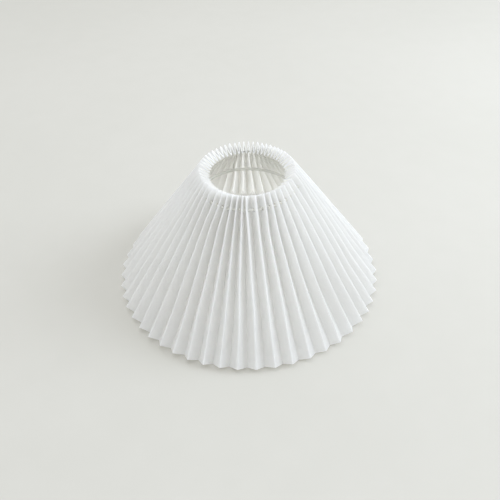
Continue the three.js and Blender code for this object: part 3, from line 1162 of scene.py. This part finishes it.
@dataclass
class WireCarrier:
    """Ring, hooks, arms and fitter, welded into one frame inside the shade."""

    cone: Cone
    wire_finish: LacqueredSteel
    fitter_finish: LacqueredSteel
    ring_wire: float = 2.8 * MM
    hook_wire: float = 1.6 * MM
    arm_wire: float = 2.4 * MM
    arm_turn: float = math.radians(45)
    cord: float = 1.8 * MM
    lap_past: float = 2.2 * MM
    gap: float = 0.3 * MM
    shank_setback: float = 2.4 * MM
    finger_spare: float = 0.25 * MM
    fitter_bore: float = 42 * MM
    ring_height: float = field(init=False)
    ring_radius: float = field(init=False)
    fitter_top: float = field(init=False)
    fitter_low: float = field(init=False)
    fitter_outer: float = field(init=False)

    def __post_init__(self) -> None:
        """Reads the ring's and the fitter's places from their CAD boxes."""
        low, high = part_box("carrier_ring")
        self.ring_height = (low.z + high.z) / 2
        self.ring_radius = (high.x - low.x) / 2 - self.ring_wire / 2
        low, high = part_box("fitter_ring")
        self.fitter_low, self.fitter_top = low.z, high.z
        self.fitter_outer = (high.x - low.x) / 2

    def azimuth(self, number: int) -> float:
        """Azimuth of a hook, counted from 0."""
        return self.cone.first_fold + HOOK_FOLDS[number] * self.cone.pleat_angle

    def groove_end(self, height: float) -> float:
        """Gives the largest radius that a hook's finger can reach in its groove."""
        inner = self.cone.fold_radius(-1, height)
        depth = self.cone.fold_radius(1, height) - inner
        half_span = inner * math.sin(self.cone.pleat_angle / 2)
        wall = half_span / math.hypot(half_span, depth)
        return inner + depth - (self.cone.cloth / 2 + self.hook_wire / 2 + self.finger_spare) / wall

    def upright(self, pairs: Sequence[tuple[float, float]], azimuth: float, steps: int) -> np.ndarray:
        """Runs a curve through radius and height pairs in the upright plane at an azimuth."""
        radii, heights = np.array(pairs).T
        return centripetal(azimuth_point(radii, azimuth, heights), steps)

    def ring(self) -> bpy.types.Object:
        """Makes the ring, with the slight swelling of its butt weld."""
        azimuth = np.linspace(0, 2 * math.pi, 168, endpoint=False)
        weld = np.radians(-134.0)
        away = (azimuth - weld + math.pi) % (2 * math.pi) - math.pi
        swell = np.exp(-((away / math.radians(1.6)) ** 2))
        radius = self.ring_wire / 2 * (1 + 0.18 * swell)
        path = azimuth_point(self.ring_radius, azimuth, self.ring_height)
        return sweep("carrier_ring_wire", path, radius, 14, True)

    def hook(self, number: int) -> bpy.types.Object:
        """Makes one hook: foot on the ring, upright, and a finger under the cord."""
        foot = self.ring_radius + self.ring_wire / 2 + self.gap + self.hook_wire / 2
        shank = self.cone.cord_radius - self.shank_setback
        finger = self.cone.cord_height - self.cord / 2 - self.gap - self.hook_wire / 2
        bend = self.hook_wire
        route = [
            (foot, self.ring_height - self.lap_past),
            (foot, self.ring_height),
            (foot, self.ring_height + self.lap_past),
            ((foot + shank) / 2, self.ring_height + 0.45 * (finger - self.ring_height)),
            (shank, finger - 3 * bend),
            (shank, finger - bend),
            (shank + 0.3 * bend, finger - 0.3 * bend),
            (shank + bend, finger),
            (self.groove_end(finger) - 0.5 * MM, finger),
        ]
        azimuth = self.azimuth(number)
        side = azimuth_point(1.0, azimuth + math.pi / 2, 0.0)
        path = self.upright(route, azimuth, 64)
        return sweep(f"hook_wire_{number + 1}", path, self.hook_wire / 2, 12, False, side)

    def arm(self, number: int) -> bpy.types.Object:
        """Makes one arm: down from the ring and in over the fitter."""
        upper = self.ring_radius - self.ring_wire / 2 - self.gap - self.arm_wire / 2
        lying = self.fitter_top + self.gap + self.arm_wire / 2
        bend = 4 * self.arm_wire
        route = [
            (upper, self.ring_height + self.lap_past),
            (upper, self.ring_height),
            (upper, lying + bend),
            (upper - 0.3 * bend, lying + 0.3 * bend),
            (upper - bend, lying),
            (self.fitter_outer, lying),
            (self.fitter_bore / 2 + self.arm_wire, lying),
        ]
        azimuth = self.azimuth(number) + self.arm_turn
        side = azimuth_point(1.0, azimuth + math.pi / 2, 0.0)
        path = self.upright(route, azimuth, 72)
        return sweep(f"arm_wire_{number + 1}", path, self.arm_wire / 2, 14, False, side)

    def bead(
        self, name: str, centre: np.ndarray, size: Sequence[float], azimuth: float, seed: int
    ) -> bpy.types.Object:
        """Makes one weld bead: a pillow that is pinched at the waist and a little rough.

        Args:
            name: The bead's name.
            centre: Its middle.
            size: Its half extents along the radius, round the ring and upwards.
            azimuth: The azimuth that it faces.
            seed: The seed of its roughness.

        Returns:
            The bead.
        """
        shape = bmesh.new()
        bmesh.ops.create_icosphere(shape, subdivisions=3, radius=1.0)
        draw = np.random.default_rng(seed)
        waves = draw.normal(0, 1, (6, 3)) * 2.2
        phases = draw.uniform(0, 2 * math.pi, 6)
        outward = azimuth_point(1.0, azimuth, 0.0)
        sideways = azimuth_point(1.0, azimuth + math.pi / 2, 0.0)
        for vertex in shape.verts:
            place = np.array(vertex.co)
            swell = 0.86 + 0.2 * abs(place[0]) ** 1.5
            swell += 0.05 * float(np.sin(waves @ place + phases).mean()) * 2
            place = np.sign(place) * np.abs(place) ** 0.85 * swell
            spot = centre + outward * place[0] * size[0] + sideways * place[1] * size[1]
            vertex.co = Vector(spot + np.array([0.0, 0.0, place[2] * size[2]]))
        mesh = bpy.data.meshes.new(name)
        shape.to_mesh(mesh)
        shape.free()
        mesh.shade_smooth()
        piece = bpy.data.objects.new(name, mesh)
        bpy.context.scene.collection.objects.link(piece)
        return piece

    def welds(self) -> bpy.types.Object:
        """Makes all the weld beads as one piece."""
        beads = []
        for number in range(len(HOOK_FOLDS)):
            azimuth = self.azimuth(number)
            radius = self.ring_radius + self.ring_wire / 2 + self.gap / 2
            centre = azimuth_point(radius, azimuth, self.ring_height)
            beads.append(self.bead("bead", centre, (0.8 * MM, 1.05 * MM, 0.9 * MM), azimuth, 20 + number))
            azimuth += self.arm_turn
            radius = self.ring_radius - self.ring_wire / 2 - self.gap / 2
            centre = azimuth_point(radius, azimuth, self.ring_height)
            beads.append(self.bead("bead", centre, (0.9 * MM, 1.35 * MM, 0.95 * MM), azimuth, 30 + number))
            for radius, step in ((self.fitter_outer - 1.6 * MM, 40), (self.fitter_bore / 2 + 2.6 * MM, 50)):
                centre = azimuth_point(radius, azimuth, self.fitter_top + self.gap / 2 + 0.1 * MM)
                size = (1.3 * MM, 1.45 * MM, 0.75 * MM)
                beads.append(self.bead("bead", centre, size, azimuth, step + number))
        return join("weld_beads", beads)

    def fitter(self) -> bpy.types.Object:
        """Makes the pressed fitter ring with rounded outer edges and a rolled-in bore."""
        bore, outer = self.fitter_bore / 2, self.fitter_outer
        low, high = self.fitter_low, self.fitter_top
        soft = 0.42 * MM
        quarter = np.radians([0, 22.5, 45, 67.5, 90])
        profile: list[tuple[float, float]] = []
        for radius, height, start in (
            (outer - soft, low + soft, -90),
            (outer - soft, high - soft, 0),
            (bore + soft * 0.6, high - soft * 0.6, 90),
            (bore + soft * 0.6, low + soft * 0.6, 180),
        ):
            size = soft if radius > (bore + outer) / 2 else soft * 0.6
            for angle in quarter + math.radians(start):
                profile.append((radius + math.cos(angle) * size, height + math.sin(angle) * size))
        points, faces = [], []
        count, around = len(profile), 120
        for i in range(around):
            azimuth = 2 * math.pi * i / around
            for radius, height in profile:
                points.append(azimuth_point(radius, azimuth, height))
            for j in range(count):
                here, there = i * count, ((i + 1) % around) * count
                faces.append((here + j, there + j, there + (j + 1) % count, here + (j + 1) % count))
        return mesh_object("fitter_washer", np.array(points), faces)

    def build(self) -> None:
        """Makes and settles every piece of the carrier."""
        wire = self.wire_finish.material()
        ring = self.ring()
        ring.data.materials.append(wire)
        settle(ring, Body.CARRIER, ("carrier_ring",))
        for number in range(len(HOOK_FOLDS)):
            for piece, node in (
                (self.hook(number), f"hanger_hook_{number + 1}"),
                (self.arm(number), f"carrier_arm_{number + 1}"),
            ):
                piece.data.materials.append(wire)
                settle(piece, Body.CARRIER, (node,))
        beads = self.welds()
        beads.data.materials.append(wire)
        settle(beads, Body.CARRIER)
        fitter = self.fitter()
        fitter.data.materials.append(self.fitter_finish.material())
        sharpen(fitter, 40)
        settle(fitter, Body.CARRIER, ("fitter_ring",))


# ---- Studio ------------------------------------------------------------------------------------


@dataclass(frozen=True)
class AreaLight:
    """One soft light, aimed at a point."""

    name: str
    place: tuple[float, float, float]
    aim: tuple[float, float, float]
    size: float
    power: float
    colour: tuple[float, float, float]

    def build(self) -> bpy.types.Object:
        """Makes the light."""
        light = bpy.data.lights.new(self.name, "AREA")
        light.shape = "DISK"
        light.size = self.size
        light.energy = self.power
        light.color = self.colour
        lamp = bpy.data.objects.new(self.name, light)
        lamp.location = self.place
        lamp.rotation_euler = (Vector(self.aim) - Vector(self.place)).to_track_quat("-Z", "Y").to_euler()
        bpy.context.scene.collection.objects.link(lamp)
        return lamp


@dataclass
class Studio:
    """Floor, lights and camera."""

    eye: tuple[float, float, float] = (-1.355 * MM, -430.29 * MM, 419.20 * MM)
    aim: tuple[float, float, float] = (1.80 * MM, 30.27 * MM, 0.0)
    roll: float = math.radians(-0.87)
    lens: float = 38.66
    sensor: float = 36.0
    floor_size: float = 6.0
    sky: tuple[float, float, float, float] = (0.93, 0.95, 0.96, 1)
    sky_power: float = 0.99
    lights: tuple[AreaLight, ...] = (
        AreaLight("window", (1.5, 0.15, 1.0), (0, 0, 0.05), 1.1, 18.5, (0.84, 0.91, 1.0)),
        AreaLight("ceiling", (-0.2, 0.6, 2.0), (0, 0, 0.0), 1.4, 9.0, (0.95, 0.98, 1.0)),
    )

    def floor(self) -> bpy.types.Object:
        """Makes the floor, at the level where the shade stands."""
        half = self.floor_size / 2
        level = CAD_BOX[0].z
        corners = [(-half, -half, level), (half, -half, level), (half, half, level), (-half, half, level)]
        ground = mesh_object("studio_floor", np.array(corners), [(0, 1, 2, 3)])
        ground.data.materials.append(PaleFloor().material())
        return ground

    def camera(self) -> bpy.types.Object:
        """Makes the camera and gives it to the scene."""
        lens = bpy.data.cameras.new("camera")
        lens.lens = self.lens
        lens.sensor_width = self.sensor
        lens.clip_start = 0.01
        camera = bpy.data.objects.new("camera", lens)
        camera.location = self.eye
        heading = (Vector(self.aim) - Vector(self.eye)).to_track_quat("-Z", "Y")
        camera.rotation_mode = "QUATERNION"
        camera.rotation_quaternion = heading
        camera.rotation_mode = "XYZ"
        camera.rotation_euler.rotate_axis("Z", self.roll)
        bpy.context.scene.collection.objects.link(camera)
        bpy.context.scene.camera = camera
        return camera

    def build(self) -> None:
        """Makes everything round the object."""
        scene = bpy.context.scene
        scene.view_settings.view_transform = "Standard"
        scene.cycles.max_bounces = 16
        scene.cycles.diffuse_bounces = 12
        world = bpy.data.worlds.new("studio")
        world.use_nodes = True
        sky = world.node_tree.nodes["Background"]
        sky.inputs[0].default_value = self.sky
        sky.inputs[1].default_value = self.sky_power
        scene.world = world
        self.floor()
        self.camera()
        for light in self.lights:
            light.build()
        LOG.info("studio: floor, camera and %d lights", len(self.lights))


def main() -> None:
    """Builds the shade's sub-assemblies in order, then the studio."""
    logging.basicConfig(level=logging.INFO, format="%(name)s: %(message)s")
    PleatedSheet(
        CONE,
        LaminatedCloth("cloth_face", (0.91, 0.927, 0.97, 1), (0.88, 0.885, 0.92, 1), (0.982, 0.98, 0.995, 1)),
        LaminatedCloth(
            "cloth_backing",
            (0.998, 0.988, 0.945, 1),
            (0.97, 0.95, 0.89, 1),
            (1.0, 0.993, 0.95, 1),
            glow_share=0.76,
        ),
    ).build()
    Drawcord(CONE, CottonCord()).build()
    WireCarrier(
        CONE,
        LacqueredSteel("lacquered_wire", (0.84, 0.84, 0.80, 1), (0.74, 0.74, 0.70, 1)),
        LacqueredSteel("lacquered_fitter", (0.68, 0.685, 0.66, 1), (0.6, 0.6, 0.57, 1), roughness=0.3),
    ).build()
    Studio().build()


if __name__ == "__main__":
    main()
